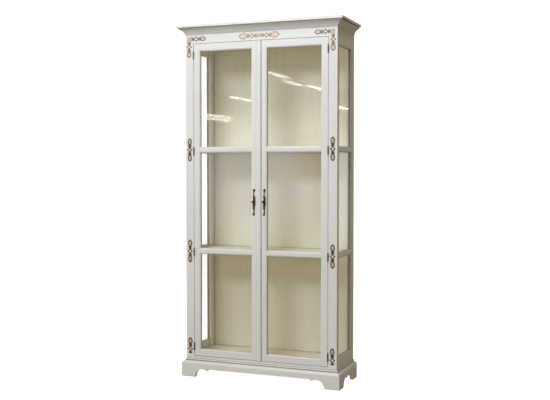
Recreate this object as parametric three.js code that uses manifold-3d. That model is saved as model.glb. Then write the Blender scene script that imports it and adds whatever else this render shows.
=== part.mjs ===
// A tall two-door display cabinet of painted wood, with glazed doors and glazed sides.
// Units are millimetres. +X is to the right, +Y to the back, +Z up. The origin is on the floor,
// under the middle of the cabinet's outer box.
//
// The carcass is four posts joined by rails at the sides and at the front. A mitred bracket
// plinth, planted round the posts' lower ends, carries it, and a mitred cornice runs round its
// head.
// Each door is a frame of two stiles and four rails, with a pane in each of its three openings,
// and hangs between the front posts on four butt hinges.

import * as THREE from 'three';
import { mergeVertices } from 'three/addons/utils/BufferGeometryUtils.js';
import Module from 'manifold-3d';

const wasm = await Module();
wasm.setup();

// ---------------------------------------------------------------- driving dimensions

const HEIGHT = 2200;
const BODY_WIDTH = 994;
const BODY_DEPTH = 350;
const GAP = 0.3;

const CORNICE_OUT = 44;
const CORNICE_HEIGHT = 56;
const CORNICE_FILLET = 16;
const COVE_FOOT = 2;
const COVE_RISE = 33;
const COVE_OUT = 36;
const COVE_FROM_DEGREES = 150;
const COVE_TO_DEGREES = 95;
const CORNICE_QUIRK_DEPTH = 6;

const PLINTH_OUT = 24;
const PLINTH_HEIGHT = 113;
const PLINTH_BEAD_OUT = 7;
const PLINTH_BEAD_HEIGHT = 9;
const PLINTH_QUIRK_OUT = 3.5;
const PLINTH_QUIRK_HEIGHT = 2;
const PLINTH_OVOLO_HEIGHT = 22;

const APRON_RISE = 53;
const ARCH_RISE = 52;
const ARCH_HALF_WIDTH = 50;
const CUSP_HEIGHT = 42;
const CUSP_CURVE_WIDTH = 20;
const FRONT_FOOT_WIDTH = 95;
const FRONT_CUSP_FROM_FOOT = 83;
const SIDE_FRONT_FOOT_WIDTH = 90;
const SIDE_REAR_FOOT_WIDTH = 80;
const SIDE_CUSP_FROM_FOOT = 73;

const POST_BOTTOM = 60;
const POST_WIDTH = 55;
const FRONT_POST_DEPTH = 45;
const REAR_POST_WIDTH = 34;
const REAR_POST_DEPTH = 60;
const SIDE_THICKNESS = 22;
const TOP_THICKNESS = 18;

const DOOR_BOTTOM = 132;
const DOOR_TOP = 2086;
const DOOR_THICKNESS = 24;
const DOOR_SIDE_CLEARANCE = 2;
const DOOR_END_CLEARANCE = 2;
const STILE_WIDTH = 44;
const GLASS_TO_CENTRE = 52;
const LEFT_DOOR_EDGE = 13;
const RIGHT_DOOR_EDGE = 15;
const DOOR_GLASS_BOTTOM = 176;
const SIDE_GLASS_BOTTOM = 184;
const GLASS_TOP = 2037;
const LOWER_RAIL = { bottom: 776, top: 813 };
const UPPER_RAIL = { bottom: 1408, top: 1445 };

const STOP_HEIGHT = 8;
const STOP_DEPTH = 18;
const LOWER_FRONT_RAIL_BOTTOM = 90;

const OVOLO_WIDTH = 8;
const OVOLO_DEPTH = 7;
const OVOLO_STEPS = 5;
const QUIRK_DEPTH = 1;
const REBATE_WIDTH = 8;
const DOOR_LIP = 11;
const SIDE_LIP = 10;
const GLASS_THICKNESS = 4;
const GLASS_CLEARANCE = 1;

const BOARD_THICKNESS = 22;
const FLOOR_TOP = 136;
const LOWER_SHELF_TOP = 800;
const UPPER_SHELF_TOP = 1431;
const SHELF_SETBACK = 4;
const BACK_REBATE_WIDTH = 10;
const BACK_REBATE_DEPTH = 8;
const BACK_THICKNESS = 6;
const BACK_BOTTOM = 96;

const STRIP_WIDTH = 30;
const STRIP_DEPTH = 5.5;
const STRIP_EDGE_DEPTH = 3.5;

const HINGE_HEIGHTS = [189, 787, 1418, 2016];
const BARREL_RADIUS = 4.7;
const BARREL_HEIGHT = 46;
const BARREL_STANDOFF = 5.2;
const BUTTON_HEIGHT = 3;
const BUTTON_RADIUS = 2.6;
const BARREL_SEGMENTS = 14;
const LEAF_THICKNESS = 1;
const LEAF_DEPTH = 18;

const HANDLE_HEIGHT = 1105;
const HANDLE_HALF_LENGTH = 82;
const HANDLE_FLATNESS = 0.6;
const LEFT_HANDLE_X = -34;
const RIGHT_HANDLE_X = 34;
const HANDLE_SINK = 2;
const HANDLE_SEGMENTS = 16;
const KNOB_RADIUS = 8.5;
const KNOB_LENGTH = 12;
const KNOB_REACH = 29;
const KNOB_RAISE = 2;
const STEM_RADIUS = 3.2;

// ---------------------------------------------------------------- derived planes

const SIDE_X = BODY_WIDTH / 2;
const FRONT_Y = -(BODY_DEPTH + CORNICE_OUT) / 2 + CORNICE_OUT;
const BACK_Y = FRONT_Y + BODY_DEPTH;
const POST_INNER_X = SIDE_X - POST_WIDTH;
const POST_BACK_Y = FRONT_Y + FRONT_POST_DEPTH;
const REAR_POST_INNER_X = SIDE_X - REAR_POST_WIDTH;
const REAR_POST_FRONT_Y = BACK_Y - REAR_POST_DEPTH;
const SIDE_INNER_X = SIDE_X - SIDE_THICKNESS;
const CORNICE_BOTTOM = HEIGHT - CORNICE_HEIGHT;
const FRAME_TOP = HEIGHT - TOP_THICKNESS;
const BACK_PANEL_Y = BACK_Y - BACK_REBATE_DEPTH;
const DOOR_OUTER_X = POST_INNER_X - DOOR_SIDE_CLEARANCE;
const DOOR_GLASS_X = DOOR_OUTER_X - STILE_WIDTH;
const DOOR_BACK_Y = FRONT_Y + DOOR_THICKNESS;
const HINGE_X = POST_INNER_X - LEAF_THICKNESS;
const HINGE_Y = FRONT_Y - BARREL_STANDOFF;

const X = new THREE.Vector3(1, 0, 0);
const Y = new THREE.Vector3(0, 1, 0);
const Z = new THREE.Vector3(0, 0, 1);

// ---------------------------------------------------------------- finishes

function finish(color, roughness, metalness = 0) {
  return new THREE.MeshStandardMaterial({ color, roughness, metalness });
}

function ivoryPaint() {
  return finish(0xe9e7e1, 0.42);
}

function creamPaint() {
  return finish(0xdcd7c6, 0.5);
}

function clearGlass() {
  const glass = finish(0xdfe8e4, 0.05);
  glass.transparent = true;
  glass.opacity = 0.3;
  return glass;
}

function agedBronze() {
  return finish(0x5e4630, 0.38, 0.9);
}

// ---------------------------------------------------------------- solids

const cabinet = new THREE.Group();

function addPart(name, geometry, material) {
  const mesh = new THREE.Mesh(geometry, material);
  mesh.name = name;
  cabinet.add(mesh);
}

function toSolid(geometry) {
  const bare = geometry.clone();
  bare.deleteAttribute('normal');
  bare.deleteAttribute('uv');
  const merged = mergeVertices(bare, 1e-4);
  const vertProperties = new Float32Array(merged.attributes.position.array);
  const triVerts = new Uint32Array(merged.index.array);
  return new wasm.Manifold(new wasm.Mesh({ numProp: 3, vertProperties, triVerts }));
}

function toGeometry(solid) {
  const mesh = solid.getMesh();
  const geometry = new THREE.BufferGeometry();
  geometry.setAttribute('position', new THREE.BufferAttribute(mesh.vertProperties, 3));
  geometry.setIndex(new THREE.BufferAttribute(mesh.triVerts, 1));
  geometry.computeVertexNormals();
  return geometry;
}

function cut(geometry, cutters) {
  const start = toSolid(geometry);
  return toGeometry(cutters.reduce((solid, cutter) => solid.subtract(toSolid(cutter)), start));
}

function join(geometries) {
  const [first, ...others] = geometries.map(toSolid);
  return toGeometry(others.reduce((solid, other) => solid.add(other), first));
}

function block(low, high) {
  const [width, depth, height] = high.map((value, axis) => value - low[axis]);
  const geometry = new THREE.BoxGeometry(width, depth, height);
  return geometry.translate(low[0] + width / 2, low[1] + depth / 2, low[2] + height / 2);
}

// A prism whose outline lies in the plane of `across` and +Z, and which runs along their
// cross product from `start`.
function prism(outline, length, across, start) {
  const geometry = new THREE.ExtrudeGeometry(outline, { depth: length, bevelEnabled: false });
  const along = new THREE.Vector3().crossVectors(across, Z);
  geometry.applyMatrix4(new THREE.Matrix4().makeBasis(across, Z, along));
  return geometry.translate(start.x, start.y, start.z);
}

// A moulding with its section in the plane of `out` and +Z. A mitred end grows by the
// section's own distance from the wall, so that two of them meet at 45 degrees.
function moulding(section, length, out, start, mitres) {
  const geometry = new THREE.ExtrudeGeometry(section, { depth: length, bevelEnabled: false });
  const position = geometry.attributes.position;
  for (let i = 0; i < position.count; i += 1) {
    const atStart = position.getZ(i) < length / 2;
    const grow = position.getX(i) - GAP / 2;
    if (atStart && mitres.start) {
      position.setZ(i, -grow);
    }
    if (!atStart && mitres.end) {
      position.setZ(i, length + grow);
    }
  }
  const along = new THREE.Vector3().crossVectors(out, Z);
  geometry.applyMatrix4(new THREE.Matrix4().makeBasis(out, Z, along));
  return geometry.translate(start.x, start.y, start.z);
}

// The three runs of a moulding round the front and the two sides, with mitred front corners.
function mouldingRuns(section) {
  const front = Y.clone().negate();
  const left = X.clone().negate();
  const frontLeft = new THREE.Vector3(-SIDE_X, FRONT_Y, 0);
  const frontRight = new THREE.Vector3(SIDE_X, FRONT_Y, 0);
  const backRight = new THREE.Vector3(SIDE_X, BACK_Y, 0);
  return {
    front: moulding(section, BODY_WIDTH, front, frontRight, { start: true, end: true }),
    left: moulding(section, BODY_DEPTH, left, frontLeft, { start: true, end: false }),
    right: moulding(section, BODY_DEPTH, X, backRight, { start: false, end: true }),
  };
}

function ellipsePoints(centre, radiusX, radiusY, fromDegrees, toDegrees, steps) {
  const curve = new THREE.EllipseCurve(
    centre.x,
    centre.y,
    radiusX,
    radiusY,
    THREE.MathUtils.degToRad(fromDegrees),
    THREE.MathUtils.degToRad(toDegrees),
    toDegrees < fromDegrees,
  );
  return curve.getPoints(steps);
}

// ---------------------------------------------------------------- glazed openings

// The space of one glazed opening, to be cut from the members round it. It is centred on the
// opening, with `across` and +Z in the plane of the face. From the face inwards it has a quirk,
// an ovolo, the clear opening, and behind the lip a rebate that the pane lies in.
function glazedOpening({ across, centre, width, height, lip, thickness }) {
  const ovolo = new THREE.BoxGeometry(width, height, 1, 1, 1, OVOLO_STEPS);
  const position = ovolo.attributes.position;
  for (let i = 0; i < position.count; i += 1) {
    const turn = (position.getZ(i) + 0.5) * (Math.PI / 2);
    const spread = OVOLO_WIDTH * (1 - Math.cos(turn));
    const depth = OVOLO_DEPTH * (1 - Math.sin(turn)) + QUIRK_DEPTH;
    const x = position.getX(i) + Math.sign(position.getX(i)) * spread;
    const y = position.getY(i) + Math.sign(position.getY(i)) * spread;
    position.setXYZ(i, x, y, -depth);
  }
  const layer = (extra, from, to) => {
    const low = [-width / 2 - extra, -height / 2 - extra, -to];
    const high = [width / 2 + extra, height / 2 + extra, -from];
    return block(low, high);
  };
  const beyond = 1;
  const space = join([
    ovolo,
    layer(OVOLO_WIDTH, -beyond, QUIRK_DEPTH),
    layer(0, QUIRK_DEPTH, thickness + beyond),
    layer(REBATE_WIDTH, lip, thickness),
  ]);
  const outward = new THREE.Vector3().crossVectors(across, Z);
  space.applyMatrix4(new THREE.Matrix4().makeBasis(across, Z, outward));
  return space.translate(centre.x, centre.y, centre.z);
}

function pane({ across, centre, width, height, lip }) {
  const grow = 2 * (REBATE_WIDTH - GLASS_CLEARANCE);
  const geometry = new THREE.BoxGeometry(width + grow, height + grow, GLASS_THICKNESS);
  const outward = new THREE.Vector3().crossVectors(across, Z);
  geometry.applyMatrix4(new THREE.Matrix4().makeBasis(across, Z, outward));
  const depth = lip + GAP + GLASS_THICKNESS / 2;
  return geometry.translate(
    centre.x - outward.x * depth,
    centre.y - outward.y * depth,
    centre.z - outward.z * depth,
  );
}

function levels(glassBottom) {
  return [
    { name: 'lower', bottom: glassBottom, top: LOWER_RAIL.bottom },
    { name: 'middle', bottom: LOWER_RAIL.top, top: UPPER_RAIL.bottom },
    { name: 'upper', bottom: UPPER_RAIL.top, top: GLASS_TOP },
  ];
}

// ---------------------------------------------------------------- carcass

function sideOpenings(side) {
  const centreY = (POST_BACK_Y + REAR_POST_FRONT_Y) / 2;
  return levels(SIDE_GLASS_BOTTOM).map(({ name, bottom, top }) => ({
    name,
    across: Y.clone().multiplyScalar(side),
    centre: new THREE.Vector3(side * SIDE_X, centreY, (bottom + top) / 2),
    width: REAR_POST_FRONT_Y - POST_BACK_Y,
    height: top - bottom,
    lip: SIDE_LIP,
    thickness: SIDE_THICKNESS,
  }));
}

function sideBlock(side, inner, outer, fromY, toY, fromZ, toZ) {
  const [low, high] = side > 0 ? [inner, outer] : [-outer, -inner];
  return block([low, fromY, fromZ], [high, toY, toZ]);
}

function addSide(side, label) {
  const openings = sideOpenings(side);
  const spaces = openings.map(glazedOpening);

  const frontPost = sideBlock(side, POST_INNER_X, SIDE_X, FRONT_Y, POST_BACK_Y, POST_BOTTOM, FRAME_TOP);
  addPart(`front_post_${label}`, cut(frontPost, spaces), ivoryPaint());

  const rearPost = sideBlock(
    side,
    REAR_POST_INNER_X,
    SIDE_X,
    REAR_POST_FRONT_Y,
    BACK_Y,
    POST_BOTTOM,
    FRAME_TOP,
  );
  const backRebate = sideBlock(
    side,
    REAR_POST_INNER_X - 1,
    REAR_POST_INNER_X + BACK_REBATE_WIDTH,
    BACK_PANEL_Y,
    BACK_Y + 1,
    BACK_BOTTOM - GAP,
    FRAME_TOP + 1,
  );
  addPart(`rear_post_${label}`, cut(rearPost, [...spaces, backRebate]), ivoryPaint());

  const rails = {
    bottom: [LOWER_FRONT_RAIL_BOTTOM, SIDE_GLASS_BOTTOM],
    lower: [LOWER_RAIL.bottom, LOWER_RAIL.top],
    upper: [UPPER_RAIL.bottom, UPPER_RAIL.top],
    top: [GLASS_TOP, FRAME_TOP],
  };
  for (const [name, [from, to]] of Object.entries(rails)) {
    const rail = sideBlock(side, SIDE_INNER_X, SIDE_X, POST_BACK_Y, REAR_POST_FRONT_Y, from, to);
    addPart(`side_rail_${name}_${label}`, cut(rail, spaces), ivoryPaint());
  }
  for (const opening of openings) {
    addPart(`side_glass_${opening.name}_${label}`, pane(opening), clearGlass());
  }
}

// A rail between the front posts, with a lip behind the doors that stops them.
function frontRail(bottom, top, stopSide) {
  const face = block([-POST_INNER_X, FRONT_Y, bottom], [POST_INNER_X, POST_BACK_Y, top]);
  const stopFrom = stopSide > 0 ? top - 1 : bottom - STOP_HEIGHT;
  const stopTo = stopSide > 0 ? top + STOP_HEIGHT : bottom + 1;
  const stop = block(
    [-POST_INNER_X, POST_BACK_Y - STOP_DEPTH, stopFrom],
    [POST_INNER_X, POST_BACK_Y, stopTo],
  );
  return join([face, stop]);
}

// A board that fills the plan of the carcass from `frontY` to the back panel, notched round the
// posts that it passes.
function boardOutline(frontY) {
  const edge = SIDE_INNER_X - GAP;
  const right = [];
  if (frontY < POST_BACK_Y) {
    right.push([POST_INNER_X - GAP, frontY], [POST_INNER_X - GAP, POST_BACK_Y + GAP]);
    right.push([edge, POST_BACK_Y + GAP]);
  } else {
    right.push([edge, frontY]);
  }
  right.push([edge, REAR_POST_FRONT_Y - GAP]);
  right.push([REAR_POST_INNER_X - GAP, REAR_POST_FRONT_Y - GAP]);
  right.push([REAR_POST_INNER_X - GAP, BACK_PANEL_Y]);
  const left = right.map(([x, y]) => [-x, y]).reverse();
  return new THREE.Shape([...right, ...left].map(([x, y]) => new THREE.Vector2(x, y)));
}

function board(frontY, top) {
  const options = { depth: BOARD_THICKNESS, bevelEnabled: false };
  const geometry = new THREE.ExtrudeGeometry(boardOutline(frontY), options);
  return geometry.translate(0, 0, top - BOARD_THICKNESS);
}

function addCarcass() {
  addSide(-1, 'left');
  addSide(1, 'right');
  const friezeBottom = DOOR_TOP + DOOR_END_CLEARANCE;
  const sillTop = DOOR_BOTTOM - DOOR_END_CLEARANCE;
  addPart('frieze_rail', frontRail(friezeBottom, FRAME_TOP, -1), ivoryPaint());
  addPart('lower_front_rail', frontRail(LOWER_FRONT_RAIL_BOTTOM, sillTop, 1), ivoryPaint());
  const top = block([-SIDE_X, FRONT_Y, FRAME_TOP], [SIDE_X, BACK_Y, HEIGHT]);
  addPart('top_board', top, ivoryPaint());
  const shelfFront = DOOR_BACK_Y + SHELF_SETBACK;
  addPart('floor_board', board(POST_BACK_Y + GAP, FLOOR_TOP), creamPaint());
  addPart('lower_shelf', board(shelfFront, LOWER_SHELF_TOP), creamPaint());
  addPart('upper_shelf', board(shelfFront, UPPER_SHELF_TOP), creamPaint());
  const panelHalf = REAR_POST_INNER_X + BACK_REBATE_WIDTH - GAP;
  const panelY = BACK_PANEL_Y + GAP;
  const back = block(
    [-panelHalf, panelY, BACK_BOTTOM],
    [panelHalf, panelY + BACK_THICKNESS, FRAME_TOP - GAP],
  );
  addPart('back_panel', back, creamPaint());
}

// ---------------------------------------------------------------- cornice and plinth

// From the frieze up: a narrow flat, a cove that leans out from the start, a quirk under the
// fillet, and the fillet.
function corniceSection() {
  const filletBottom = HEIGHT - CORNICE_FILLET;
  const coveFrom = THREE.MathUtils.degToRad(COVE_FROM_DEGREES);
  const coveTo = THREE.MathUtils.degToRad(COVE_TO_DEGREES);
  const coveRadiusX = COVE_OUT / (Math.cos(coveTo) - Math.cos(coveFrom));
  const coveRadiusY = COVE_RISE / (Math.sin(coveTo) - Math.sin(coveFrom));
  const coveCentre = new THREE.Vector2(
    COVE_FOOT - coveRadiusX * Math.cos(coveFrom),
    CORNICE_BOTTOM - coveRadiusY * Math.sin(coveFrom),
  );
  const coveTop = CORNICE_BOTTOM + COVE_RISE;
  const quirkOut = COVE_FOOT + COVE_OUT - CORNICE_QUIRK_DEPTH;
  const easing = 3;
  const easingCentre = new THREE.Vector2(CORNICE_OUT - easing, HEIGHT - easing);
  return new THREE.Shape([
    new THREE.Vector2(0, CORNICE_BOTTOM),
    ...ellipsePoints(coveCentre, coveRadiusX, coveRadiusY, COVE_FROM_DEGREES, COVE_TO_DEGREES, 10),
    new THREE.Vector2(quirkOut, coveTop),
    new THREE.Vector2(quirkOut, filletBottom),
    new THREE.Vector2(CORNICE_OUT, filletBottom),
    ...ellipsePoints(easingCentre, easing, easing, 0, 90, 3),
    new THREE.Vector2(0, HEIGHT),
  ]);
}

// From the floor up: the flat board, an ovolo that rounds in towards the body, a quirk, and a
// small bead against the body.
function plinthSection() {
  const beadBottom = PLINTH_HEIGHT - PLINTH_BEAD_HEIGHT;
  const ovoloTop = beadBottom - PLINTH_QUIRK_HEIGHT;
  const ovoloOut = PLINTH_OUT - PLINTH_QUIRK_OUT;
  const ovoloCentre = new THREE.Vector2(PLINTH_QUIRK_OUT, ovoloTop - PLINTH_OVOLO_HEIGHT);
  const beadRise = PLINTH_BEAD_HEIGHT / 2;
  const beadOut = PLINTH_BEAD_OUT - PLINTH_QUIRK_OUT;
  const beadCentre = new THREE.Vector2(PLINTH_QUIRK_OUT, beadBottom + beadRise);
  return new THREE.Shape([
    new THREE.Vector2(0, 0),
    new THREE.Vector2(PLINTH_OUT, 0),
    ...ellipsePoints(ovoloCentre, ovoloOut, PLINTH_OVOLO_HEIGHT, 0, 90, 7),
    ...ellipsePoints(beadCentre, beadOut, beadRise, -90, 90, 6),
    new THREE.Vector2(0, PLINTH_HEIGHT),
  ]);
}

// Half of the space between two bracket feet, from the foot's edge to the middle of the board.
// It springs up from the floor, drops to a cusp and runs on level.
function bracketPoints(halfWidth, cuspFromFoot) {
  const crown = new THREE.Vector2(halfWidth - ARCH_HALF_WIDTH, 0);
  const rise = ellipsePoints(crown, ARCH_HALF_WIDTH, ARCH_RISE, 0, 90, 8);
  const cuspSine = CUSP_HEIGHT / ARCH_RISE;
  const cuspCosine = Math.sqrt(1 - cuspSine * cuspSine);
  const fallRadius = (cuspFromFoot - ARCH_HALF_WIDTH) / cuspCosine;
  const cuspDegrees = 180 - THREE.MathUtils.radToDeg(Math.asin(cuspSine));
  const fall = ellipsePoints(crown, fallRadius, ARCH_RISE, 90, cuspDegrees, 5).slice(1);
  const levelStart = new THREE.Vector2(halfWidth - cuspFromFoot - CUSP_CURVE_WIDTH, CUSP_HEIGHT);
  const lift = ellipsePoints(levelStart, CUSP_CURVE_WIDTH, APRON_RISE - CUSP_HEIGHT, 0, 90, 4);
  return [...rise, ...fall, ...lift.slice(1)];
}

function bracketOpening(halfWidth, cuspFromFoot) {
  const below = -2;
  const half = bracketPoints(halfWidth, cuspFromFoot);
  const mirrored = half
    .filter((point) => point.x > 1e-6)
    .map((point) => new THREE.Vector2(-point.x, point.y))
    .reverse();
  return new THREE.Shape([
    new THREE.Vector2(-halfWidth, below),
    new THREE.Vector2(halfWidth, below),
    ...half,
    ...mirrored,
  ]);
}

function addCorniceAndPlinth() {
  const cornice = mouldingRuns(corniceSection());
  for (const [name, geometry] of Object.entries(cornice)) {
    addPart(`cornice_${name}`, geometry, ivoryPaint());
  }

  const plinth = mouldingRuns(plinthSection());
  const past = 5;
  const frontHalf = SIDE_X + PLINTH_OUT - FRONT_FOOT_WIDTH;
  const frontSpace = prism(
    bracketOpening(frontHalf, FRONT_CUSP_FROM_FOOT),
    PLINTH_OUT + 2 * past,
    X,
    new THREE.Vector3(0, FRONT_Y + past, 0),
  );
  addPart('plinth_front', cut(plinth.front, [frontSpace]), ivoryPaint());

  const openingFrom = FRONT_Y - PLINTH_OUT + SIDE_FRONT_FOOT_WIDTH;
  const openingTo = BACK_Y - SIDE_REAR_FOOT_WIDTH;
  const sideHalf = (openingTo - openingFrom) / 2;
  const middleY = (openingFrom + openingTo) / 2;
  for (const [side, label] of [[-1, 'left'], [1, 'right']]) {
    const across = Y.clone().multiplyScalar(side);
    const start = new THREE.Vector3(side * (SIDE_X - past), middleY, 0);
    const space = prism(
      bracketOpening(sideHalf, SIDE_CUSP_FROM_FOOT),
      PLINTH_OUT + 2 * past,
      across,
      start,
    );
    addPart(`plinth_${label}`, cut(plinth[label], [space]), ivoryPaint());
  }
}

// ---------------------------------------------------------------- doors

function doorOpenings(fromX, toX) {
  return levels(DOOR_GLASS_BOTTOM).map(({ name, bottom, top }) => ({
    name,
    across: X,
    centre: new THREE.Vector3((fromX + toX) / 2, FRONT_Y, (bottom + top) / 2),
    width: toX - fromX,
    height: top - bottom,
    lip: DOOR_LIP,
    thickness: DOOR_THICKNESS,
  }));
}

function doorBlock(fromX, toX, fromZ, toZ) {
  return block([fromX, FRONT_Y, fromZ], [toX, DOOR_BACK_Y, toZ]);
}

// `stiles` gives the two stiles' spans in X, the one that carries the hinges first.
function addDoor(label, stiles) {
  const glassFrom = Math.min(stiles.hinge[1], stiles.meeting[1]);
  const glassTo = Math.max(stiles.hinge[0], stiles.meeting[0]);
  const openings = doorOpenings(glassFrom, glassTo);
  const spaces = openings.map(glazedOpening);
  for (const [name, [from, to]] of Object.entries(stiles)) {
    const stile = doorBlock(from, to, DOOR_BOTTOM, DOOR_TOP);
    addPart(`${label}_door_${name}_stile`, cut(stile, spaces), ivoryPaint());
  }
  const rails = {
    bottom: [DOOR_BOTTOM, DOOR_GLASS_BOTTOM],
    lower: [LOWER_RAIL.bottom, LOWER_RAIL.top],
    upper: [UPPER_RAIL.bottom, UPPER_RAIL.top],
    top: [GLASS_TOP, DOOR_TOP],
  };
  for (const [name, [from, to]] of Object.entries(rails)) {
    const rail = doorBlock(glassFrom, glassTo, from, to);
    addPart(`${label}_door_${name}_rail`, cut(rail, spaces), ivoryPaint());
  }
  for (const opening of openings) {
    addPart(`${label}_door_${opening.name}_glass`, pane(opening), clearGlass());
  }
}

// The strip planted on the left door's free edge, with a ridge along its middle.
function addMeetingStrip() {
  const from = LEFT_DOOR_EDGE - STRIP_WIDTH;
  const section = new THREE.Shape();
  section.moveTo(from, FRONT_Y);
  section.lineTo(from, FRONT_Y - STRIP_EDGE_DEPTH);
  section.quadraticCurveTo(
    from + STRIP_WIDTH / 4,
    FRONT_Y - STRIP_DEPTH,
    from + STRIP_WIDTH / 2,
    FRONT_Y - STRIP_DEPTH,
  );
  section.quadraticCurveTo(
    LEFT_DOOR_EDGE - STRIP_WIDTH / 4,
    FRONT_Y - STRIP_DEPTH,
    LEFT_DOOR_EDGE,
    FRONT_Y - STRIP_EDGE_DEPTH,
  );
  section.lineTo(LEFT_DOOR_EDGE, FRONT_Y);
  const geometry = new THREE.ExtrudeGeometry(section, {
    depth: DOOR_TOP - DOOR_BOTTOM,
    bevelEnabled: false,
    curveSegments: 5,
  });
  addPart('meeting_strip', geometry.translate(0, 0, DOOR_BOTTOM), ivoryPaint());
}

function addDoors() {
  addDoor('left', {
    hinge: [-DOOR_OUTER_X, -DOOR_GLASS_X],
    meeting: [-GLASS_TO_CENTRE, LEFT_DOOR_EDGE],
  });
  addDoor('right', {
    hinge: [DOOR_GLASS_X, DOOR_OUTER_X],
    meeting: [RIGHT_DOOR_EDGE, GLASS_TO_CENTRE],
  });
  addMeetingStrip();
}

// ---------------------------------------------------------------- hinges and handles

// A turned solid that stands along +Z, from (radius, height) points.
function turned(points, segments) {
  return new THREE.LatheGeometry(points, segments).rotateX(Math.PI / 2);
}

// The barrel of a butt hinge: a plain tube with the pin's button at each end.
function hingeBarrel() {
  const half = BARREL_HEIGHT / 2;
  const easing = 0.6;
  const upper = [
    [BARREL_RADIUS, half - easing],
    [BARREL_RADIUS - easing, half],
    [BUTTON_RADIUS * 0.7, half],
    [BUTTON_RADIUS, half + BUTTON_HEIGHT * 0.3],
    [BUTTON_RADIUS * 0.8, half + BUTTON_HEIGHT * 0.8],
    [0, half + BUTTON_HEIGHT],
  ];
  const lower = upper.map(([radius, height]) => [radius, -height]).reverse();
  const points = [...lower, ...upper].map(([radius, height]) => new THREE.Vector2(radius, height));
  return turned(points, BARREL_SEGMENTS);
}

function addHinges() {
  for (const [side, label] of [[-1, 'left'], [1, 'right']]) {
    HINGE_HEIGHTS.forEach((height, index) => {
      const barrel = hingeBarrel().translate(side * HINGE_X, HINGE_Y, height);
      const leaf = sideBlock(
        side,
        HINGE_X,
        POST_INNER_X,
        HINGE_Y,
        FRONT_Y + LEAF_DEPTH,
        height - BARREL_HEIGHT / 2,
        height + BARREL_HEIGHT / 2,
      );
      addPart(`hinge_${label}_${index + 1}`, join([barrel, leaf]), agedBronze());
    });
  }
}

// The back plate of a pull is a turned spindle, flattened and planted on the stile.
function handlePlate() {
  const outline = new THREE.SplineCurve([
    new THREE.Vector2(0, -HANDLE_HALF_LENGTH),
    new THREE.Vector2(4.6, -78),
    new THREE.Vector2(4.8, -71),
    new THREE.Vector2(2.6, -64),
    new THREE.Vector2(3.2, -52),
    new THREE.Vector2(6.2, -36),
    new THREE.Vector2(5.2, -25),
    new THREE.Vector2(8.2, -10),
    new THREE.Vector2(8.4, 6),
    new THREE.Vector2(5.0, 15),
    new THREE.Vector2(7.2, 26),
    new THREE.Vector2(6.6, 38),
    new THREE.Vector2(3.2, 50),
    new THREE.Vector2(2.6, 62),
    new THREE.Vector2(5.4, 69),
    new THREE.Vector2(5.4, 77),
    new THREE.Vector2(0, HANDLE_HALF_LENGTH),
  ]);
  const points = outline.getPoints(40);
  const spindle = turned(points, HANDLE_SEGMENTS);
  spindle.scale(1, HANDLE_FLATNESS, 1).translate(0, -HANDLE_SINK, 0);
  const reach = HANDLE_HALF_LENGTH + 1;
  const behind = block([-reach, 0, -reach], [reach, reach, reach]);
  return cut(spindle, [behind]);
}

// The knob stands out of the middle of the plate on a waisted stem.
function handleKnob() {
  const neck = KNOB_REACH - KNOB_LENGTH;
  const profile = [
    [0, 1],
    [STEM_RADIUS + 2, 1],
    [STEM_RADIUS, neck / 2],
    [STEM_RADIUS, neck - 2],
    [STEM_RADIUS + 2, neck],
    [KNOB_RADIUS, neck + KNOB_LENGTH * 0.35],
    [KNOB_RADIUS, neck + KNOB_LENGTH * 0.55],
    [KNOB_RADIUS * 0.72, neck + KNOB_LENGTH * 0.85],
    [0, KNOB_REACH],
  ];
  const points = profile.map(([radius, reach]) => new THREE.Vector2(radius, reach));
  const knob = new THREE.LatheGeometry(points, HANDLE_SEGMENTS).rotateX(Math.PI);
  return knob.translate(0, 0, KNOB_RAISE);
}

function handle(centreX) {
  const pull = join([handlePlate(), handleKnob()]);
  return pull.translate(centreX, FRONT_Y, HANDLE_HEIGHT);
}

function addHandles() {
  addPart('left_door_handle', handle(LEFT_HANDLE_X), agedBronze());
  addPart('right_door_handle', handle(RIGHT_HANDLE_X), agedBronze());
}

addCarcass();
addCorniceAndPlinth();
addDoors();
addHinges();
addHandles();

export default cabinet;
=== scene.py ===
"""Looks of the curio cabinet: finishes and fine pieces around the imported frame.
Metres, +Z up, front towards -Y."""
import math
import bmesh
import bpy
from mathutils import Matrix, Vector


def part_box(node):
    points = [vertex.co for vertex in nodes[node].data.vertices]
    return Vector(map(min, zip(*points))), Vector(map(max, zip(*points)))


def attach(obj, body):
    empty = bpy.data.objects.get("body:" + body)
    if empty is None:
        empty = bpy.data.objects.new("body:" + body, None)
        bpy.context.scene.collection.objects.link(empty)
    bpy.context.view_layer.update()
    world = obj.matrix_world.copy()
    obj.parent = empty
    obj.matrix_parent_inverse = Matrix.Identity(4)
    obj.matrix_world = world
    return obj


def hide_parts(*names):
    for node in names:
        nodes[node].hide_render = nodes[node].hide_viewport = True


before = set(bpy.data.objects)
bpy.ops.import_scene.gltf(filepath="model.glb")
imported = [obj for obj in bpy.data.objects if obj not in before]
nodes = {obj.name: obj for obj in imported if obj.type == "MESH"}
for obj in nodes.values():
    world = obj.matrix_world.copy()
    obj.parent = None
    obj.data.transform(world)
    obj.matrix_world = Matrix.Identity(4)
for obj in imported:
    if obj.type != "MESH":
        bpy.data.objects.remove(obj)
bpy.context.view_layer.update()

MM = 0.001
LOOSE = 0.25 * MM  # play between a fitted piece and its neighbour
SIDES = (("left", -1), ("right", 1))


def lowest(node):
    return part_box(node)[0]


def highest(node):
    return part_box(node)[1]


FRAME_FRONT = lowest("front_post_left").y
DOOR_BACK = highest("left_door_hinge_stile").y
POST_CENTRE = (highest("front_post_right").x + lowest("front_post_right").x) / 2


# ---------------------------------------------------------------- node trees

MIX_A, MIX_B, MIXED = 6, 7, 2  # a Mix node's two colour inputs and its colour output


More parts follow.
